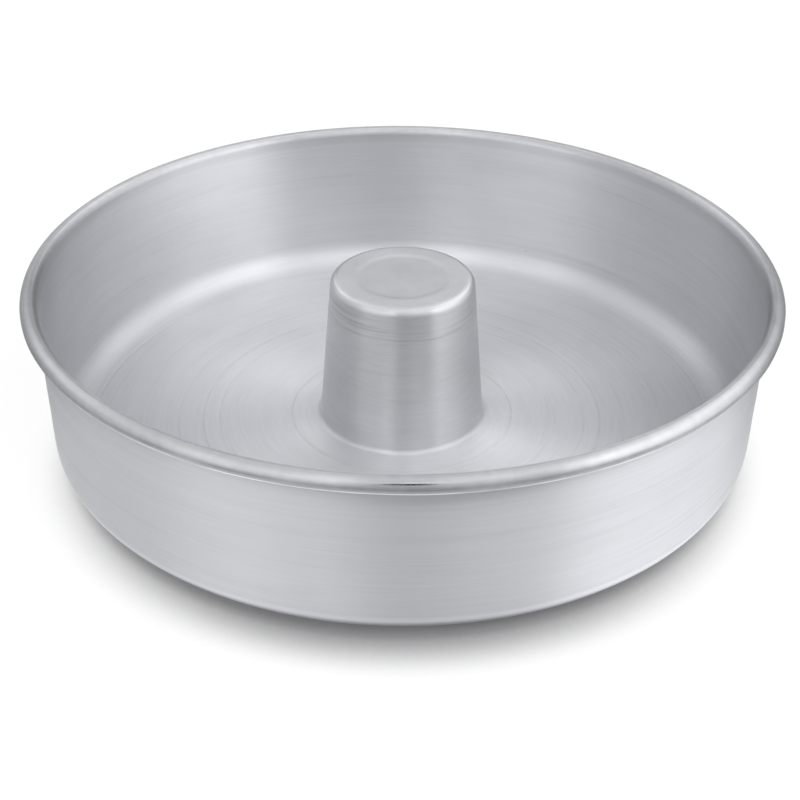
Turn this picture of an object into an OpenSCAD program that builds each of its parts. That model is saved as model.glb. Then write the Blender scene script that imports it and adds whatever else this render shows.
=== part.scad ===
// Angel food cake pan: a spun aluminium pan with a wired rim and a closed, tapered centre tube.
// It stands on the XY plane with its axis on Z, and every size is in millimetres.

/* [Rim] */
// Outside diameter over the rolled rim
rim_d = 266; // [200:1:340]
// Height of the rolled rim above the table
pan_h = 63; // [45:1:110]
// Outside diameter of the roll along the rim
roll_d = 6; // [5:0.1:8]
// Slit between the curled edge and the wall below the rim
curl_slit = 0.3; // [0.1:0.05:0.6]
// Slack between pieces that are pressed together
fit_slack = 0.02; // [0.01:0.01:0.1]

/* [Wall and floor] */
// Thickness of the pan's sheet
sheet_t = 1.2; // [0.8:0.1:1.4]
// Lean of the wall, wider at the top, in degrees
wall_taper = 1.6; // [0:0.1:8]
// Outside radius of the corner between the wall and the floor
corner_r = 11; // [6:0.5:20]
// Height that the turned up edge of the floor reaches inside the tube
collar_h = 12; // [8:0.5:18]

/* [Centre tube] */
// Height of the tube's flat top above the table
tube_h = 57.5; // [35:0.5:105]
// Diameter of the tube's top, measured to its sharp corner
tube_top_d = 51.5; // [40:0.5:70]
// Lean of the tube's side, wider at the foot, in degrees
tube_taper = 4.7; // [1:0.1:7]
// Thickness of the tube's sheet
tube_sheet_t = 1; // [0.8:0.1:1.4]
// Outside radius of the shoulder round the tube's top
shoulder_r = 3; // [2:0.25:6]
// Radius of the hollow where the tube meets the floor
foot_r = 3.5; // [2:0.25:6]
// Diameter of the flange that lies on the floor round the tube
flange_d = 83; // [78:0.5:100]
// Thickness of that flange, pressed thin on the floor
flange_t = 0.5; // [0.3:0.05:0.9]

/* [Smoothness] */
// Steps round the pan
round_steps = 144; // [72:12:240]

/* [Hidden] */

// How far a cutting shape runs past the sheet it cuts
past = 2;
// How far a straight face lies inside the round that it runs into, so the two join without a sliver
tuck = 0.002;
// Angles round the roll by which the wall's inner face, and the roll itself, run on past each other
face_run_on = 4;
roll_run_on = 1;
// Steps round each small circle of a section
section_steps = 48;

roll_r = roll_d / 2;
wire_r = roll_r - sheet_t - fit_slack;
hollow_r = foot_r + tube_sheet_t;
flange_top = sheet_t + flange_t;

// A point at a distance from another, in a direction given in degrees
function away(from, angle, distance) = from + distance * [cos(angle), sin(angle)];

// Rim: the roll's centre, and the two faces of the wall where they run into the roll
roll_at = [rim_d / 2 - roll_r, pan_h - roll_r];
wall_side = 180 - wall_taper;
wall_face_top = away(roll_at, wall_side, roll_r - sheet_t);
wall_out_end = away(roll_at, wall_side, roll_r - sheet_t - tuck);
wall_in_end = away(roll_at, wall_side - face_run_on, (roll_r - tuck) / cos(face_run_on));
inside_wall = away(roll_at, wall_side, roll_r + past);
curl_stop = wall_side + acos((roll_r - sheet_t - curl_slit) / roll_r);

// Corner: the centre of the bend that touches both the table and the wall's outer face
corner_lean = (corner_r - wall_face_top[1]) * sin(wall_taper);
corner_at = [wall_face_top[0] + (corner_lean - corner_r) / cos(wall_taper), corner_r];

// Tube: distance of its outer face from the origin, along the face's own normal
tube_face = tube_top_d / 2 * cos(tube_taper) + tube_h * sin(tube_taper);

// A point at a height, on a line that lies a distance outside the tube's outer face
function beside_tube(height, distance) =
    [(tube_face + distance - height * sin(tube_taper)) / cos(tube_taper), height];

shoulder_at = beside_tube(tube_h - shoulder_r, -shoulder_r);
foot_at = beside_tube(flange_top + foot_r, foot_r);
hollow_at = beside_tube(sheet_t + hollow_r, hollow_r - tube_sheet_t);

// Everything within the pan's outer face when depth is 0, or within its inner face at sheet_t
module pan_fill(depth, top_points) {
    polygon(concat([
        [0, depth],
        [corner_at[0], depth],
        corner_at,
        away(corner_at, -wall_taper, corner_r - depth - tuck)
    ], top_points));
    translate(corner_at)
        circle(r = corner_r - depth, $fn = section_steps);
}

// The rim's roll as a full disc, cut away between the wall and the end of the curl
module roll_fill() {
    open_mid = (wall_side + curl_stop) / 2;
    reach = 2 * roll_d;
    difference() {
        translate(roll_at)
            rotate(open_mid)
                circle(r = roll_r, $fn = section_steps);
        polygon([
            roll_at,
            away(roll_at, wall_side + roll_run_on, reach),
            away(roll_at, open_mid, reach),
            away(roll_at, curl_stop, reach)
        ]);
    }
}

// Floor, corner, wall and rolled rim as one bent sheet
module floor_wall_and_rim_section() {
    difference() {
        union() {
            pan_fill(0, [wall_out_end, inside_wall, [0, inside_wall[1]]]);
            roll_fill();
        }
        pan_fill(sheet_t, [wall_in_end, [0, wall_in_end[1]]]);
        translate(roll_at)
            rotate(wall_side)
                circle(r = roll_r - sheet_t, $fn = section_steps);
        translate([0, -past])
            square([hollow_at[0] - fit_slack, 2 * past + sheet_t]);
    }
}

// Everything below and inside the floor's turned up edge, down from its face towards the tube
module collar_fill(depth, fill_top) {
    bend_r = hollow_r + depth;
    difference() {
        polygon([
            [0, -past],
            [hollow_at[0], -past],
            hollow_at,
            away(hollow_at, 180 + tube_taper, bend_r - tuck),
            beside_tube(fill_top, -tube_sheet_t - depth),
            [0, fill_top]
        ]);
        translate(hollow_at)
            circle(r = bend_r, $fn = section_steps);
    }
}

// The floor's edge, bent up round its hole to carry the tube
module collar_section() {
    translate([-fit_slack, 0])
        difference() {
            collar_fill(0, collar_h);
            collar_fill(sheet_t, collar_h + past);
        }
}

module pan_body() {
    color([0.78, 0.79, 0.8])
        rotate_extrude($fn = round_steps) {
            floor_wall_and_rim_section();
            collar_section();
        }
}

// Everything under one face of the tube: its side, its shoulder and its flat top
module tube_fill(depth, bend_at, bend_r) {
    difference() {
        union() {
            polygon([
                [0, 0],
                [bend_at[0], 0],
                bend_at,
                away(bend_at, 180 + tube_taper, bend_r - tuck),
                away(shoulder_at, tube_taper, shoulder_r - depth - tuck),
                shoulder_at,
                [shoulder_at[0], tube_h - depth],
                [0, tube_h - depth]
            ]);
            translate(shoulder_at)
                circle(r = shoulder_r - depth, $fn = section_steps);
        }
        translate(bend_at)
            circle(r = bend_r, $fn = section_steps);
    }
}

module tube_section() {
    difference() {
        union() {
            tube_fill(0, foot_at, foot_r);
            square([flange_d / 2, flange_top]);
        }
        tube_fill(tube_sheet_t, hollow_at, hollow_r);
        square([flange_d, sheet_t]);
    }
}

module centre_tube() {
    color([0.72, 0.74, 0.76])
        rotate_extrude($fn = round_steps)
            tube_section();
}

module rim_wire() {
    color([0.45, 0.46, 0.48])
        rotate_extrude($fn = round_steps)
            translate(roll_at)
                circle(r = wire_r, $fn = section_steps);
}

pan_body();
centre_tube();
rim_wire();
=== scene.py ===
import math
import bpy
from mathutils import Matrix, Vector, noise


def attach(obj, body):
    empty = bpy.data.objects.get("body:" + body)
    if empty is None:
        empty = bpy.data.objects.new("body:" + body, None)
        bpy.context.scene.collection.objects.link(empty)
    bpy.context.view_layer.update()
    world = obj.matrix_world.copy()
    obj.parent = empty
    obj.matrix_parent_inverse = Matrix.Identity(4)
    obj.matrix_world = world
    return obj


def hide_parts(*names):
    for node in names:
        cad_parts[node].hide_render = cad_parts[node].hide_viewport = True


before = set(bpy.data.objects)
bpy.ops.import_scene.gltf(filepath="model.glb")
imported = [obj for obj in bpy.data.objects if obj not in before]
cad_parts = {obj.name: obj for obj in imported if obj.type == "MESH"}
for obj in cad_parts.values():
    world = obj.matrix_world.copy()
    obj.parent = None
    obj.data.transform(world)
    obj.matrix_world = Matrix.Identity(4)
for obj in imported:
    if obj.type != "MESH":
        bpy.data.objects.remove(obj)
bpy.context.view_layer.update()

mm = 0.001


def polar(centre, radius, angle):
    # a point of a section at a distance from another, angle in degrees
    a = math.radians(angle)
    return (centre[0] + radius * math.cos(a), centre[1] + radius * math.sin(a))


def arc(centre, radius, start, end, steps):
    # both ends included
    return [polar(centre, radius, start + (end - start) * i / steps) for i in range(steps + 1)]


def between(start, end, steps):
    # both ends left out
    wide, tall = end[0] - start[0], end[1] - start[1]
    return [(start[0] + wide * i / steps, start[1] + tall * i / steps) for i in range(1, steps)]


def eased(u):
    return u * u * (3 - 2 * u)


def roundNoise(angle, waves, row):
    # smooth and closed round the axis, about -1 to 1; waves is how many it makes on the way round
    reach = waves / math.tau
    return noise.noise(Vector((reach * math.cos(angle), reach * math.sin(angle), row))) * 1.6


def newObject(name, data):
    made = bpy.data.objects.new(name, data)
    bpy.context.scene.collection.objects.link(made)
    return made


def lathe(name, section, steps, closed, shift=None):
    # turns a section of (radius, height) in mm round Z, with one vertex where a point lies on the axis
    verts = []
    rows = []
    for r, z in section:
        if r < 1e-6:
            rows.append([len(verts)] * steps)
            verts.append((0, 0, z * mm))
            continue
        rows.append(list(range(len(verts), len(verts) + steps)))
        for i in range(steps):
            a = math.tau * i / steps
            atR, atZ = shift(r, z, a) if shift else (r, z)
            verts.append((atR * mm * math.cos(a), atR * mm * math.sin(a), atZ * mm))
    faces = []
    for j in range(len(rows) if closed else len(rows) - 1):
        near, far = rows[j], rows[(j + 1) % len(rows)]
        for i in range(steps):
            k = (i + 1) % steps
            faces.append(list(dict.fromkeys((near[i], far[i], far[k], near[k]))))
    mesh = bpy.data.meshes.new(name)
    mesh.from_pydata(verts, [], faces)
    mesh.validate()
    mesh.polygons.foreach_set("use_smooth", [True] * len(mesh.polygons))
    return newObject(name, mesh)


def flatSheet(name, wide, tall, height=0):
    # a single face, level and centred on the axis
    x, y = wide / 2, tall / 2
    corners = [(-x, -y, height), (x, -y, height), (x, y, height), (-x, y, height)]
    mesh = bpy.data.meshes.new(name)
    mesh.from_pydata(corners, [], [(0, 1, 2, 3)])
    return newObject(name, mesh)


# pan body: floor, corner, wall and rolled rim, all spun from one sheet
pan = {
    "rimDiameter": 266,
    "height": 63,
    "rollDiameter": 6,
    "sheet": 1.2,
    "wallLean": 1.6,      # degrees
    "cornerRadius": 11,
    "curlEnd": -121.6,    # where the curled edge stops under the rim, degrees
    "holeBendAt": (33.5, 5.7),
    "collarTop": 12,
    "collarLean": 4.7,
    "collarFace": 29.375,  # distance of the collar's outer face from the axis foot, along its normal
    "collarSlack": 0.02,  # between the collar and the tube
    "cutEase": 0.25,      # softened edge of the cut sheet
    "creaseDepth": 0.13,  # fine groove where the flat floor stops
    "creaseWidth": 1.5,
    "outOfRound": 0.12,   # of the wall at its top
    "roundUpTo": 12,      # height where that starts, and how far it takes to grow to the full amount
    "ovalOver": 40,
    "ovalTurn": 0.7,      # which way the oval lies, radians
    "hollows": 0.05,      # shallow rings left in the wall by the spinning roller
    "hollowSpan": (9, 57, 6),  # heights where they start and stop, and how far they take to fade
    "hollowWaves": [(0.6, 0.42, 1.3), (0.4, 0.23, 4)],  # share, radians per mm and start of each
    "rimDents": 0.16,
    "pressedAllRound": 0.3,  # share of that depth which the whole rim has
    "dentWaves": [(0.25, 26, 3), (0.2, 70, 8)],  # share, count round the rim and row of the noise
    "sharpDents": (0.25, 40, 14, 0.25),  # the same, and how strong the noise is where they start
    "stepsRound": 480,
    "bendSteps": 12,      # points along each stretch of the section
    "floorSteps": 56,
    "wallSteps": 40,
    "insideCornerSteps": 24,
    "outsideCornerSteps": 26,
    "rollSteps": 60,
    "boreSteps": 30,
}


def panSection(p):
    rollR = p["rollDiameter"] / 2
    rollAt = (p["rimDiameter"] / 2 - rollR, p["height"] - rollR)
    boreR = rollR - p["sheet"]
    wallSide = 180 - p["wallLean"]
    lean = math.radians(p["wallLean"])
    wallTop = polar(rollAt, boreR, wallSide)
    outR = p["cornerRadius"]
    bendAt = (wallTop[0] + ((outR - wallTop[1]) * math.sin(lean) - outR) / math.cos(lean), outR)
    hole = p["holeBendAt"]
    ease = p["cutEase"]

    def collar(height, inward):
        tilt = math.radians(p["collarLean"])
        face = (p["collarFace"] - inward - height * math.sin(tilt)) / math.cos(tilt)
        return (face - p["collarSlack"], height)

    # cake side, from the turned up edge at the hole out to the rim
    collarArc = arc(hole, hole[1] - p["sheet"], 180 + p["collarLean"], 270, p["bendSteps"])
    points = [collar(p["collarTop"] - ease, 0)]
    points += between(points[-1], collarArc[0], 4) + collarArc
    floorEnd = (bendAt[0] - p["creaseWidth"], p["sheet"])
    points += between(points[-1], floorEnd, p["floorSteps"]) + [floorEnd]
    for i in range(1, 10):
        u = i / 10
        dip = p["creaseDepth"] * math.sin(math.pi * u) ** 2
        points.append((floorEnd[0] + p["creaseWidth"] * u, p["sheet"] - dip))
    points += arc(bendAt, outR - p["sheet"], -90, -p["wallLean"], p["insideCornerSteps"])
    roll = arc(rollAt, rollR, wallSide, p["curlEnd"] + 4, p["rollSteps"])
    points += between(points[-1], roll[0], p["wallSteps"]) + roll
    # the curled edge, cut square and softened
    end = p["curlEnd"]
    points += [polar(rollAt, rollR - 0.08, end + 1.2), polar(rollAt, rollR - 0.3, end)]
    points += [polar(rollAt, boreR + 0.3, end), polar(rollAt, boreR + 0.08, end + 1.8)]
    # inside of the roll, then down the outer face and back along the underside
    points += arc(rollAt, boreR, end + 5, wallSide, p["boreSteps"])
    corner = arc(bendAt, outR, -p["wallLean"], -90, p["outsideCornerSteps"])
    points += between(points[-1], corner[0], p["wallSteps"]) + corner
    points += between(points[-1], (hole[0], 0), p["floorSteps"])
    points += arc(hole, hole[1], 270, 180 + p["collarLean"], p["bendSteps"])
    collarIn = collar(p["collarTop"] - ease, p["sheet"])
    points += between(points[-1], collarIn, 4) + [collarIn]
    points += [(collar(p["collarTop"], p["sheet"])[0] + ease, p["collarTop"])]
    points += [(collar(p["collarTop"], 0)[0] - ease, p["collarTop"])]
    return points, rollAt, bendAt


panPoints, rollAt, cornerAt = panSection(pan)


def panTrue(r, z, a):
    # nothing spun by hand is quite true; every shift goes inwards, so the pan keeps its size
    high = min(max((z - pan["roundUpTo"]) / pan["ovalOver"], 0), 1)
    dr = -pan["outOfRound"] * high * (0.5 + 0.5 * math.sin(2 * a + pan["ovalTurn"]))
    dz = 0
    low, top, fadeOver = pan["hollowSpan"]
    if low < z < top and r > cornerAt[0]:
        fade = min(1, (z - low) / fadeOver, (top - z) / fadeOver)
        wave = sum(share * math.sin(z * pace + start) for share, pace, start in pan["hollowWaves"])
        dr += pan["hollows"] * fade * (wave - 1)
    # dents press the roll towards its own middle
    away = Vector((r - rollAt[0], z - rollAt[1]))
    if away.length > pan["rollDiameter"] / 2 - 0.1 and z > pan["height"] - pan["rollDiameter"]:
        dent = pan["pressedAllRound"]
        for share, waves, row in pan["dentWaves"]:
            dent += share * roundNoise(a, waves, row)
        share, waves, row, strong = pan["sharpDents"]
        dent += share * max(0, roundNoise(a, waves, row) - strong)
        away = away.normalized() * -pan["rimDents"] * max(dent, 0)
        dr += away[0]
        dz += away[1]
    return r + dr, z + dz


panShell = lathe("panShell", panPoints, pan["stepsRound"], True, panTrue)
print("pan body spun:", len(panShell.data.polygons), "faces")

# centre tube: closed at the top, tapered, its flange rubbed down on the floor
tube = {
    "height": 57.5,
    "topDiameter": 51.5,  # to the sharp corner
    "lean": 4.7,
    "sheet": 1,
    "shoulder": 3,
    "foot": 1.8,
    "flangeDiameter": 83,
    "flange": 0.5,
    "feather": 0.06,      # what is left of the flange at its edge
    "standsOn": 1.2,
    "flatFlange": 0.5,    # how far the flange goes before it thins
    "dishRadius": 16.5,   # faint flat pressed in the middle of the top
    "dishDepth": 0.14,
    "dishStep": 1.5,      # half the width of the step round it
    "plainTop": 24.6,     # inside this radius the end was not turned
    "endAbove": 50,       # and the end lies above this height
    "rubbedFrom": 31.5,   # outside this radius the flange was rubbed down
    "flangeBelow": 4,
    "stepsRound": 320,
    "bendSteps": 18,      # points along each stretch of the section
    "wallSteps": 48,
    "flangeSteps": 14,
    "insideSteps": 40,
}


def tubeSection(t):
    lean = math.radians(t["lean"])
    face = t["topDiameter"] / 2 * math.cos(lean) + t["height"] * math.sin(lean)
    flangeTop = t["standsOn"] + t["flange"]
    hollow = t["foot"] + t["sheet"]
    edgeR = t["flangeDiameter"] / 2

    def beside(height, distance):
        return ((face + distance - height * math.sin(lean)) / math.cos(lean), height)

    shoulderAt = beside(t["height"] - t["shoulder"], -t["shoulder"])
    footAt = beside(flangeTop + t["foot"], t["foot"])
    hollowAt = beside(t["standsOn"] + hollow, hollow - t["sheet"])
    dish = t["height"] - t["dishDepth"]
    dishEnd = t["dishRadius"] - t["dishStep"]
    points = [(0, dish), (0.6, dish)] + between((0.6, dish), (dishEnd, dish), 9)
    for i in range(9):
        u = i / 8
        points.append((dishEnd + 2 * t["dishStep"] * u, dish + t["dishDepth"] * eased(u)))
    points += between(points[-1], (shoulderAt[0], t["height"]), 6)
    points += arc(shoulderAt, t["shoulder"], 90, t["lean"], t["bendSteps"])
    footArc = arc(footAt, t["foot"], 180 + t["lean"], 270, t["bendSteps"])
    points += between(points[-1], footArc[0], t["wallSteps"]) + footArc
    start = footArc[-1][0] + t["flatFlange"]
    for i in range(t["flangeSteps"] + 1):
        u = i / t["flangeSteps"]
        thin = (t["flange"] - t["feather"]) * eased(u)
        points.append((start + (edgeR - 0.1 - start) * u, flangeTop - thin))
    points += [(edgeR - 0.02, t["standsOn"] + t["feather"] * 0.5), (edgeR, t["standsOn"])]
    # underside and hollow
    points += between(points[-1], (hollowAt[0], t["standsOn"]), 10)
    points += arc(hollowAt, hollow, 270, 180 + t["lean"], 14)
    endArc = arc(shoulderAt, t["shoulder"] - t["sheet"], t["lean"], 90, 12)
    points += between(points[-1], endArc[0], t["insideSteps"]) + endArc
    inside = t["height"] - t["sheet"]
    return points + between(points[-1], (1, inside), 10) + [(1, inside), (0, inside)]


tubeShell = lathe("tubeShell", tubeSection(tube), tube["stepsRound"], False)
print("centre tube made:", len(tubeShell.data.polygons), "faces")


def newMaterial(name):
    mat = bpy.data.materials.new(name)
    mat.use_nodes = True
    mat.node_tree.nodes.clear()
    return mat, mat.node_tree


def put(tree, kind, inputs=None, **settings):
    # adds a node; an input takes a number, a colour or another node's output
    node = tree.nodes.new("ShaderNode" + kind)
    for key, value in settings.items():
        setattr(node, key, value)
    for key, value in (inputs or {}).items():
        if hasattr(value, "is_output"):
            tree.links.new(value, node.inputs[key])
        else:
            node.inputs[key].default_value = value
    return node


def calc(tree, operation, *values):
    return put(tree, "Math", dict(enumerate(values)), operation=operation).outputs[0]


def swing(tree, value, amount, middle=0.0):
    # a 0 to 1 value turned into middle, give or take half of amount
    return calc(tree, "MULTIPLY_ADD", value, amount, middle - amount / 2)


def ramp(tree, value, start, end, low=0, high=1, smooth=False):
    # low up to start, high from end on
    ends = {0: value, 1: start, 2: end, 3: low, 4: high}
    way = "SMOOTHSTEP" if smooth else "LINEAR"
    return put(tree, "MapRange", ends, interpolation_type=way).outputs[0]


def softLine(tree, value, at, halfWidth, tone):
    # tone where value is at the line, fading to nothing at its half width
    off = calc(tree, "ABSOLUTE", calc(tree, "SUBTRACT", value, at))
    return ramp(tree, off, 0, halfWidth, tone, 0, smooth=True)


def grainNoise(tree, place, perMetre, detail):
    return put(tree, "TexNoise", {"Vector": place, "Scale": perMetre, "Detail": detail}).outputs["Fac"]


def blend(tree, look, tone):
    # from the dull colour to the bright one
    ends = {0: tone, 6: (*look["dull"], 1), 7: (*look["bright"], 1)}
    return put(tree, "Mix", ends, data_type="RGBA").outputs[2]


def scaled(tree, colour, level):
    return put(tree, "VectorMath", {0: colour, "Scale": level}, operation="SCALE").outputs[0]


def embossed(tree, look, relief):
    how = {"Strength": look["bump"], "Distance": look["depth"] * mm, "Height": relief}
    return put(tree, "Bump", how).outputs[0]


def radiusOf(tree, place):
    # distance from the axis, and the flat direction that it was measured in
    flat = put(tree, "VectorMath", {0: place, 1: (1, 1, 0)}, operation="MULTIPLY").outputs[0]
    return put(tree, "VectorMath", {0: flat}, operation="LENGTH").outputs["Value"], flat


def spotOn(tree):
    # where the spot lies: radius, height and direction round the axis
    place = put(tree, "TexCoord").outputs["Object"]
    radius, flat = radiusOf(tree, place)
    way = put(tree, "VectorMath", {0: flat}, operation="NORMALIZE").outputs[0]
    side = put(tree, "SeparateXYZ", {0: way})
    return {
        "place": place,
        "radius": radius,
        "height": put(tree, "SeparateXYZ", {0: place}).outputs["Z"],
        "sideX": side.outputs["X"],
        "sideY": side.outputs["Y"],
    }


def turnMarks(tree, spot, perMetre, turn, detail):
    # marks that run round the axis; turn is how fast they change on the way round
    across = put(tree, "CombineXYZ", {
        0: calc(tree, "MULTIPLY", spot["radius"], perMetre),
        1: calc(tree, "MULTIPLY", spot["height"], perMetre),
        2: calc(tree, "MULTIPLY", spot["sideX"], turn),
    }).outputs[0]
    fourth = calc(tree, "MULTIPLY", spot["sideY"], turn)
    drawn = {"Vector": across, "W": fourth, "Scale": 1, "Detail": detail}
    return put(tree, "TexNoise", drawn, noise_dimensions="4D").outputs["Fac"]


def darkMarks(t, look, spot, streak):
    # only the strongest marks show as scored lines
    scored = turnMarks(t, spot, look["scorePerMetre"], look["scoreTurn"], 1)
    scored = ramp(t, scored, *look["scoreSpan"])

    # pits and specks
    cell = put(t, "TexVoronoi", {"Vector": spot["place"], "Scale": look["specksPerMetre"]})
    chance = put(t, "SeparateColor", {0: cell.outputs["Color"]}).outputs[0]
    rare = calc(t, "GREATER_THAN", chance, 1 - look["speckShare"])
    dot = ramp(t, cell.outputs["Distance"], *look["speckEdge"], 1, 0)
    speck = calc(t, "MULTIPLY", calc(t, "MULTIPLY", rare, dot), look["speckTone"])
    marked = calc(t, "MULTIPLY_ADD", scored, look["scoreTone"], speck)

    # tool rings on the floor, each one fading in and out on its way round
    onFloor = calc(t, "LESS_THAN", spot["height"], look["ringsBelow"] * mm)
    patchy = calc(t, "MULTIPLY", onFloor, ramp(t, streak, *look["ringFade"]))
    for ringAt, ringWidth, ringTone in look["rings"]:
        line = softLine(t, spot["radius"], ringAt * mm, ringWidth * mm, ringTone)
        marked = calc(t, "MULTIPLY_ADD", line, patchy, marked)

    # thin dark lines from a dull tool, close together
    for bandFrom, bandTo, bandTone in look["bands"]:
        above = ramp(t, spot["height"], bandFrom * mm, (bandFrom + 2) * mm, smooth=True)
        below = ramp(t, spot["height"], (bandTo - 1) * mm, bandTo * mm, 1, 0)
        thin = turnMarks(t, spot, look["bandPerMetre"], look["bandTurn"], 2)
        thin = ramp(t, thin, *look["bandSpan"])
        lines = calc(t, "MULTIPLY", thin, calc(t, "MULTIPLY", above, below))
        marked = calc(t, "MULTIPLY_ADD", lines, bandTone, marked)
    return marked


def beadFinishAndPaintedLines(t, look, spot):
    # the rim is drawn smoother and darker than the rest, with painted highlight and shade lines along
    # the roll
    outer = ramp(t, spot["radius"], *(r * mm for r in look["beadOutside"]))
    upper = ramp(t, spot["height"], *(z * mm for z in look["beadAbove"]))
    onBead = calc(t, "MULTIPLY", outer, upper)
    # the angle round the roll: 0 is outwards, 90 is up
    up = calc(t, "SUBTRACT", spot["height"], rollAt[1] * mm)
    out = calc(t, "SUBTRACT", spot["radius"], rollAt[0] * mm)
    lap = calc(t, "MULTIPLY", calc(t, "ARCTAN2", up, out), 180 / math.pi)
    mottle = grainNoise(t, spot["place"], look["mottlePerMetre"], 4)
    level = swing(t, mottle, look["beadMottle"], look["beadTone"])
    # the painted highlight and shade lines along it come and go on the way round
    patchy = turnMarks(t, spot, look["patchPerMetre"], look["patchTurn"], 2)
    patchy = ramp(t, patchy, *look["patchSpan"], look["patchLow"], 1)
    # painted highlights and painted shade, laid in lines by the angle round the roll
    for lineAt, halfWidth, lineTone in look["beadHighlightShadeLines"]:
        level = calc(t, "MULTIPLY_ADD", softLine(t, lap, lineAt, halfWidth, lineTone), patchy, level)
    # one short stretch is rubbed to a shine
    shineAt, halfWidth, smoother, middle, reach = look["beadShine"]
    shine = softLine(t, lap, shineAt, halfWidth, smoother)
    stretch = softLine(t, spot["sideX"], middle, reach, 1)
    stretch = calc(t, "MULTIPLY", stretch, calc(t, "LESS_THAN", spot["sideY"], 0))
    shine = calc(t, "MULTIPLY", shine, stretch)
    rougher = calc(t, "SUBTRACT", look["beadRough"] - look["rough"], shine)
    return onBead, level, rougher


def cornerPaintedLines(t, look, spot, level):
    # painted highlight and painted shade lines round the outside of the bottom corner
    fromBend = put(t, "CombineXYZ", {
        0: calc(t, "SUBTRACT", spot["radius"], cornerAt[0] * mm),
        1: calc(t, "SUBTRACT", spot["height"], cornerAt[1] * mm),
    }).outputs[0]
    distance = put(t, "VectorMath", {0: fromBend}, operation="LENGTH").outputs["Value"]
    outside = calc(t, "GREATER_THAN", distance, (pan["cornerRadius"] - pan["sheet"] / 2) * mm)
    outside = calc(t, "MULTIPLY", outside, calc(t, "GREATER_THAN", spot["radius"], cornerAt[0] * mm))
    for lineAt, halfWidth, lineTone in look["cornerHighlightShadeLines"]:
        line = softLine(t, spot["height"], lineAt * mm, halfWidth * mm, lineTone)
        level = calc(t, "MULTIPLY_ADD", line, outside, level)
    return level


def turnedMetal(name, look):
    # the turning marks run round the axis, so all of it is drawn from radius, height and direction
    mat, t = newMaterial(name)
    spot = spotOn(t)
    fine = turnMarks(t, spot, look["finePerMetre"], look["fineTurn"], 2.5)
    streak = turnMarks(t, spot, look["streakPerMetre"], look["streakTurn"], 2)
    broad = turnMarks(t, spot, look["broadPerMetre"], look["broadTurn"], 1)
    cloud = grainNoise(t, spot["place"], look["cloudPerMetre"], 4)
    marked = darkMarks(t, look, spot, streak)

    tone = swing(t, fine, look["fineTone"], 0.5)
    for value, amount in ((streak, "streakTone"), (broad, "broadTone"), (cloud, "cloudTone")):
        tone = calc(t, "ADD", tone, swing(t, value, look[amount]))
    tone = put(t, "Clamp", {0: calc(t, "SUBTRACT", tone, marked)}).outputs[0]
    colour = blend(t, look, tone)
    rough = swing(t, streak, look["streakRough"], look["rough"])
    rough = calc(t, "ADD", rough, swing(t, cloud, look["cloudRough"]))
    if look["bead"]:
        onBead, level, rougher = beadFinishAndPaintedLines(t, look, spot)
        rough = calc(t, "MULTIPLY_ADD", onBead, rougher, rough)
        level = put(t, "Mix", {0: onBead, 2: 1, 3: level}).outputs[0]
        # the rim's painted highlight and shade lines and the painted corner lines scale the colour
        colour = scaled(t, colour, cornerPaintedLines(t, look, spot, level))
    rough = calc(t, "MULTIPLY_ADD", marked, look["markRough"], rough)

    relief = calc(t, "ADD", fine, calc(t, "MULTIPLY", broad, look["broadDepth"]))
    relief = calc(t, "SUBTRACT", relief, marked)
    tangent = put(t, "Tangent", direction_type="RADIAL", axis="Z").outputs[0]
    skin = put(t, "BsdfPrincipled", {
        "Base Color": colour,
        "Metallic": 1,
        "Roughness": rough,
        "Anisotropic": look["grain"],
        "Anisotropic Rotation": 0.25,   # the shine spreads across the marks, not along them
        "Tangent": tangent,
        "Normal": embossed(t, look, relief),
    }).outputs[0]
    put(t, "OutputMaterial", {0: skin})
    return mat


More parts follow.
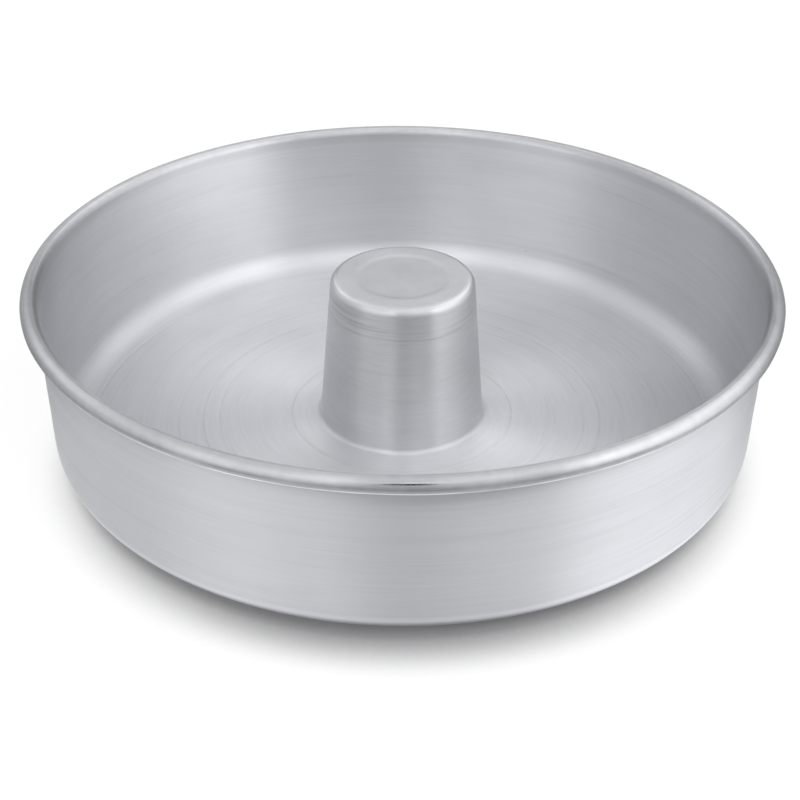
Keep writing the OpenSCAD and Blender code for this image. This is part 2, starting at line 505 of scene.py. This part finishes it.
panLook = {
    "bright": (0.657, 0.664, 0.693),
    "dull": (0.458, 0.463, 0.485),
    "rough": 0.5,
    "bead": True,
    "beadOutside": (126.6, 127.6),  # radii in mm between which the bead's finish starts
    "beadAbove": (56.5, 57.5),      # and heights
    "beadRough": 0.46,
    "beadTone": 0.78,
    # angle round the roll, half width and tone of each painted line along the bead: a painted
    # highlight where lighter, painted shade where darker
    "beadHighlightShadeLines": [(2, 24, -0.25), (-36, 15, 0.85), (118, 8, 0.2), (98, 8, -0.15)],
    # angle, half width and roughness lost, then the middle of the stretch and its reach,
    # both to the right of the axis and as shares of the radius
    "beadShine": (37, 12, 0.33, 0.02, 0.13),
    "beadMottle": 0.16,
    "mottlePerMetre": 320,
    "patchPerMetre": 30,
    "patchTurn": 6,
    "patchSpan": (0.35, 0.6),
    "patchLow": 0.35,     # how much of the bead's lines is left where they are faintest
    # height, half width and tone of the painted lines round the bottom corner: a painted highlight
    # where lighter, painted shade where darker
    "cornerHighlightShadeLines": [(7.6, 2, 0.14), (4, 2.6, -0.5)],
    "grain": 0.9,         # how strongly the shine is pulled across the marks
    "finePerMetre": 1500,
    "fineTurn": 4,
    "fineTone": 0.42,
    "streakPerMetre": 700,
    "streakTurn": 9,
    "streakTone": 0.14,
    "streakRough": 0.04,
    "broadPerMetre": 160,
    "broadTurn": 1.2,
    "broadTone": 0.2,
    "broadDepth": 2,
    "cloudPerMetre": 24,
    "cloudTone": 0.4,
    "cloudRough": 0.08,
    "scorePerMetre": 420,
    "scoreTurn": 1.6,
    "scoreTone": 0.16,
    "scoreSpan": (0.62, 0.78),
    "specksPerMetre": 70,
    "speckShare": 0.2,
    "speckEdge": (0.02, 0.055),
    "speckTone": 0.7,
    "markRough": 0.06,    # how much rougher the dark marks are
    # radius, half width and darkness of the tool rings on the floor
    "rings": [(41, 0.6, 0.3), (68, 0.5, 0.3), (74, 0.6, 0.35), (83, 0.5, 0.25), (97, 0.4, 0.2)],
    "ringsBelow": 4,
    "ringFade": (0.3, 0.6),
    "bands": [],          # heights from and to in mm, and how dark their scored lines are
    "bandPerMetre": 900,
    "bandTurn": 1.1,
    "bandSpan": (0.5, 0.72),
    "bump": 0.15,
    "depth": 0.1,
}
tubeLook = dict(panLook, **{
    "bead": False,
    "bright": (0.63, 0.634, 0.658),
    "dull": (0.44, 0.443, 0.46),
    "fineTone": 0.5,
    "streakTone": 0.25,
    "streakTurn": 3.5,
    "scoreTone": 0.12,
    "scorePerMetre": 600,
    "rings": [],
    "bands": [(44, 55, 0.55), (38.5, 41, 0.3), (31, 34, 0.25)],
    "bump": 0.3,
})


def plainMetal(name, look):
    # a face that was never turned: fine even tooth, soft clouds, small marks every way
    mat, t = newMaterial(name)
    place = put(t, "TexCoord").outputs["Object"]
    tooth = grainNoise(t, place, look["toothPerMetre"], 3)
    cloud = grainNoise(t, place, look["cloudPerMetre"], 4)
    tone = calc(t, "ADD", swing(t, tooth, look["toothTone"], 0.5), swing(t, cloud, look["cloudTone"]))
    colour = blend(t, look, put(t, "Clamp", {0: tone}).outputs[0])
    if look["rings"]:
        level = 1
        radius = radiusOf(t, place)[0]
        for start, end, step in look["rings"]:
            level = calc(t, "ADD", ramp(t, radius, start * mm, end * mm, 0, step, smooth=True), level)
        colour = scaled(t, colour, level)
    rough = swing(t, tooth, look["toothRough"], look["rough"])
    rough = calc(t, "ADD", rough, swing(t, cloud, look["cloudRough"]))
    skin = put(t, "BsdfPrincipled", {
        "Base Color": colour,
        "Metallic": 1,
        "Roughness": rough,
        "Normal": embossed(t, look, tooth),
    }).outputs[0]
    put(t, "OutputMaterial", {0: skin})
    return mat


topLook = {
    "bright": (0.515, 0.523, 0.549),
    "dull": (0.396, 0.402, 0.422),
    "rough": 0.45,
    "toothPerMetre": 900,
    "toothTone": 0.5,
    "toothRough": 0.08,
    "cloudPerMetre": 90,
    "cloudTone": 0.9,
    "cloudRough": 0.1,
    "bump": 0.15,
    "depth": 0.05,
    # radii in mm between which it gets lighter, and by how much
    "rings": [(14, 18, 0.05), (23, 25, 0.15)],
}
wireLook = dict(topLook, **{
    "bright": (0.42, 0.43, 0.45),
    "dull": (0.34, 0.35, 0.37),
    "rough": 0.38,
    "toothPerMetre": 1200,
    "cloudPerMetre": 60,
    "bump": 0.2,
    "rings": [],
})

panShell.data.materials.append(turnedMetal("satinSpunAluminium", panLook))
tubeShell.data.materials.append(turnedMetal("turnedTubeAluminium", tubeLook))
tubeShell.data.materials.append(plainMetal("plainTubeEnd", topLook))
tubeShell.data.materials.append(panShell.data.materials[0])
for face in tubeShell.data.polygons:
    middle = face.center
    out = math.hypot(middle.x, middle.y)
    if out < tube["plainTop"] * mm and middle.z > tube["endAbove"] * mm:
        face.material_index = 1
    elif out > tube["rubbedFrom"] * mm and middle.z < tube["flangeBelow"] * mm:
        # the flange was rubbed down with the floor and shares its finish
        face.material_index = 2

wireSteel = plainMetal("drawnWireSteel", wireLook)
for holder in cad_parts["rim_wire"].material_slots:
    holder.material = wireSteel

for piece, node, finish in (
    (panShell, "pan_body", "spun_aluminium"),
    (tubeShell, "centre_tube", "tube_aluminium"),
):
    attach(piece, "root")
    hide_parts(node)
print("finishes laid on")

# studio: a white table and surround, soft boxes and dark flags
studio = {
    "tableSize": 4.6,
    "tableDrop": 0.05,    # mm under the pan, so that the two faces don't meet
    "paper": (0.96, 0.96, 0.965),
    "shade": (0.06, 0.06, 0.065),
    "shadeReach": 26,     # mm, how far the painted shadow round the foot goes
    "shadeFrom": (0, 1.8, 1),  # direction that the table is open to; what stands there shades it
    "shadeSpan": (0.21, 0.85),  # open shares between which the shade fades out
    "shadeBite": 1.9,     # higher keeps the shade closer to the foot
    "shadeSamples": 24,
    "mirrorShade": 0.3,   # how much of the shade the metal mirrors
    "behind": (-40, 40, 0.7),  # depths in mm between which the mirrored table is painted darker, and how far
    "glow": 0.85,         # how much of the table's white is its own, the rest is lit
    "ownLight": 1.06,     # strength of that white
    "roomLight": 0.4,
    "boxesAt": 3,
    "flagBlack": (0.02, 0.02, 0.02),
}


def whiteFor(tree):
    # 1 for the rays that show the white background, straight or in the metal
    path = put(tree, "LightPath")
    seen = calc(tree, "MAXIMUM", path.outputs["Is Camera Ray"], path.outputs["Is Glossy Ray"])
    return calc(tree, "MAXIMUM", seen, path.outputs["Is Transmission Ray"])


def tablePaper(s):
    mat, t = newMaterial("tablePaper")
    # the shade round the foot is painted from how enclosed each spot of the table is, on top of the
    # real shadow in the lit share
    openTo = put(t, "CombineXYZ", dict(enumerate(Vector(s["shadeFrom"]).normalized()))).outputs[0]
    around = {"Distance": s["shadeReach"] * mm, "Normal": openTo}
    free = put(t, "AmbientOcclusion", around, samples=s["shadeSamples"]).outputs["AO"]
    hidden = calc(t, "POWER", ramp(t, free, *s["shadeSpan"], 1, 0, smooth=True), s["shadeBite"])
    mirrored = put(t, "LightPath").outputs["Is Glossy Ray"]
    shown = calc(t, "MULTIPLY_ADD", mirrored, s["mirrorShade"] - 1, 1)
    hidden = calc(t, "MULTIPLY", hidden, shown)
    # painted shade: the metal mirrors the far half of the table darker
    start, end, dark = s["behind"]
    depth = put(t, "SeparateXYZ", {0: put(t, "TexCoord").outputs["Object"]}).outputs["Y"]
    behind = ramp(t, depth, start * mm, end * mm, 0, dark, smooth=True)
    hidden = calc(t, "MAXIMUM", hidden, calc(t, "MULTIPLY", behind, mirrored))
    paint = {0: hidden, 6: (*s["paper"], 1), 7: (*s["shade"], 1)}
    paint = put(t, "Mix", paint, data_type="RGBA").outputs[2]
    lit = put(t, "BsdfDiffuse", {"Color": (*s["paper"], 1)}).outputs[0]
    own = put(t, "Emission", {"Color": paint, "Strength": s["ownLight"]}).outputs[0]
    share = calc(t, "MULTIPLY", whiteFor(t), s["glow"])
    put(t, "OutputMaterial", {0: put(t, "MixShader", {0: share, 1: lit, 2: own}).outputs[0]})
    return mat


table = flatSheet("studioTable", studio["tableSize"], studio["tableSize"], -studio["tableDrop"] * mm)
table.data.materials.append(tablePaper(studio))

world = bpy.data.worlds.new("studioRoom")
bpy.context.scene.world = world
world.use_nodes = True
room = world.node_tree
room.nodes.clear()
level = calc(room, "MULTIPLY_ADD", whiteFor(room), 1 - studio["roomLight"], studio["roomLight"])
sky = put(room, "Background", {"Color": (1, 1, 1, 1), "Strength": level}).outputs[0]
put(room, "OutputWorld", {0: sky})


def outThere(item, distance):
    # direction of a box or flag from the pan, and its width and height in metres
    turn, rise = math.radians(item["turn"]), math.radians(item["rise"])
    away = (math.sin(turn) * math.cos(rise), -math.cos(turn) * math.cos(rise), math.sin(rise))
    wide, tall = (2 * distance * math.tan(math.radians(item[key]) / 2) for key in ("wide", "tall"))
    return Vector(away), wide, tall


# as seen from the pan, in degrees: turn 0 is the camera's side, plus is to the right
softBoxes = [
    {"name": "backLeftBox", "turn": -152.5, "rise": 36.5, "wide": 45, "tall": 17, "bright": 0.6},
    {"name": "leftBox", "turn": -95, "rise": 36.5, "wide": 70, "tall": 17, "bright": 1.36},
    {"name": "frontLeftBox", "turn": -35, "rise": 36.5, "wide": 50, "tall": 17, "bright": 3.48},
    {"name": "frontRightBox", "turn": 56, "rise": 36.5, "wide": 14, "tall": 17, "bright": 6},
    {"name": "rightBox", "turn": 77, "rise": 36.5, "wide": 26, "tall": 17, "bright": 3.69},
    {"name": "rightBackBox", "turn": 110, "rise": 36.5, "wide": 40, "tall": 17, "bright": 2.27},
    {"name": "backRightBox", "turn": 150, "rise": 36.5, "wide": 40, "tall": 17, "bright": 1.04},
    {"name": "backBox", "turn": 178, "rise": 40, "wide": 14, "tall": 20, "bright": 0.33},
    {"name": "middleRightBox", "turn": 60, "rise": 20, "wide": 30, "tall": 16, "bright": 0.48},
    {"name": "highBox", "turn": 7.5, "rise": 55, "wide": 45, "tall": 20, "bright": 3.96},
    {"name": "highRightBox", "turn": 55, "rise": 55, "wide": 50, "tall": 20, "bright": 0.56},
    {"name": "lowRightBox", "turn": 80, "rise": 6, "wide": 50, "tall": 12, "bright": 2.1},
]
for box in softBoxes:
    away, wide, tall = outThere(box, studio["boxesAt"])
    data = bpy.data.lights.new(box["name"], "AREA")
    data.shape = "RECTANGLE"
    data.size, data.size_y = wide, tall
    data.energy = box["bright"] * wide * tall * math.pi
    lamp = newObject(box["name"], data)
    lamp.location = away * studio["boxesAt"]
    lamp.rotation_euler = (-away).to_track_quat("-Z", "Y").to_euler()
    lamp.visible_camera = False

# black flags darken what the metal mirrors; one hangs where the camera stands
flags = [
    {"name": "frontFlag", "turn": 7, "rise": 12.5, "wide": 76, "tall": 29, "at": 2.6},
    {"name": "cameraFlag", "turn": 0.5, "rise": 32, "wide": 20, "tall": 30, "at": 0.7},
    {"name": "backFlag", "turn": 177, "rise": 13, "wide": 56, "tall": 26, "at": 2.6},
    {"name": "leftFlag", "turn": -105, "rise": 6, "wide": 80, "tall": 12, "at": 2.6},
    {"name": "rightBackFlag", "turn": 128, "rise": 6, "wide": 40, "tall": 12, "at": 2.6},
]
for flag in flags:
    away, wide, tall = outThere(flag, flag["at"])
    card = flatSheet(flag["name"], wide, tall)
    card.location = away * flag["at"]
    card.rotation_euler = away.to_track_quat("Z", "Y").to_euler()
    mat, t = newMaterial(flag["name"])
    felt = put(t, "BsdfDiffuse", {"Color": (*studio["flagBlack"], 1)}).outputs[0]
    put(t, "OutputMaterial", {0: felt})
    card.data.materials.append(mat)
    card.visible_camera = False

# camera, where the photograph was taken from
camera = {
    "at": (0, -0.45616, 0.29507),
    "looksAt": (0, 0, 0.03325),
    "lens": 64.82,
    "roll": 0.443,        # degrees
    "shift": (-0.0029, -0.0811),
}
lens = bpy.data.cameras.new("photoCamera")
lens.sensor_width = 36
lens.lens = camera["lens"]
lens.shift_x, lens.shift_y = camera["shift"]
lens.clip_start = 0.01
shot = newObject("photoCamera", lens)
aim = Vector(camera["looksAt"]) - Vector(camera["at"])
facing = aim.to_track_quat("-Z", "Y").to_matrix().to_4x4()
roll = Matrix.Rotation(math.radians(camera["roll"]), 4, "Z")
shot.matrix_world = Matrix.Translation(camera["at"]) @ facing @ roll
bpy.context.scene.camera = shot
bpy.context.scene.view_settings.view_transform = "Standard"

print("studio and camera set")
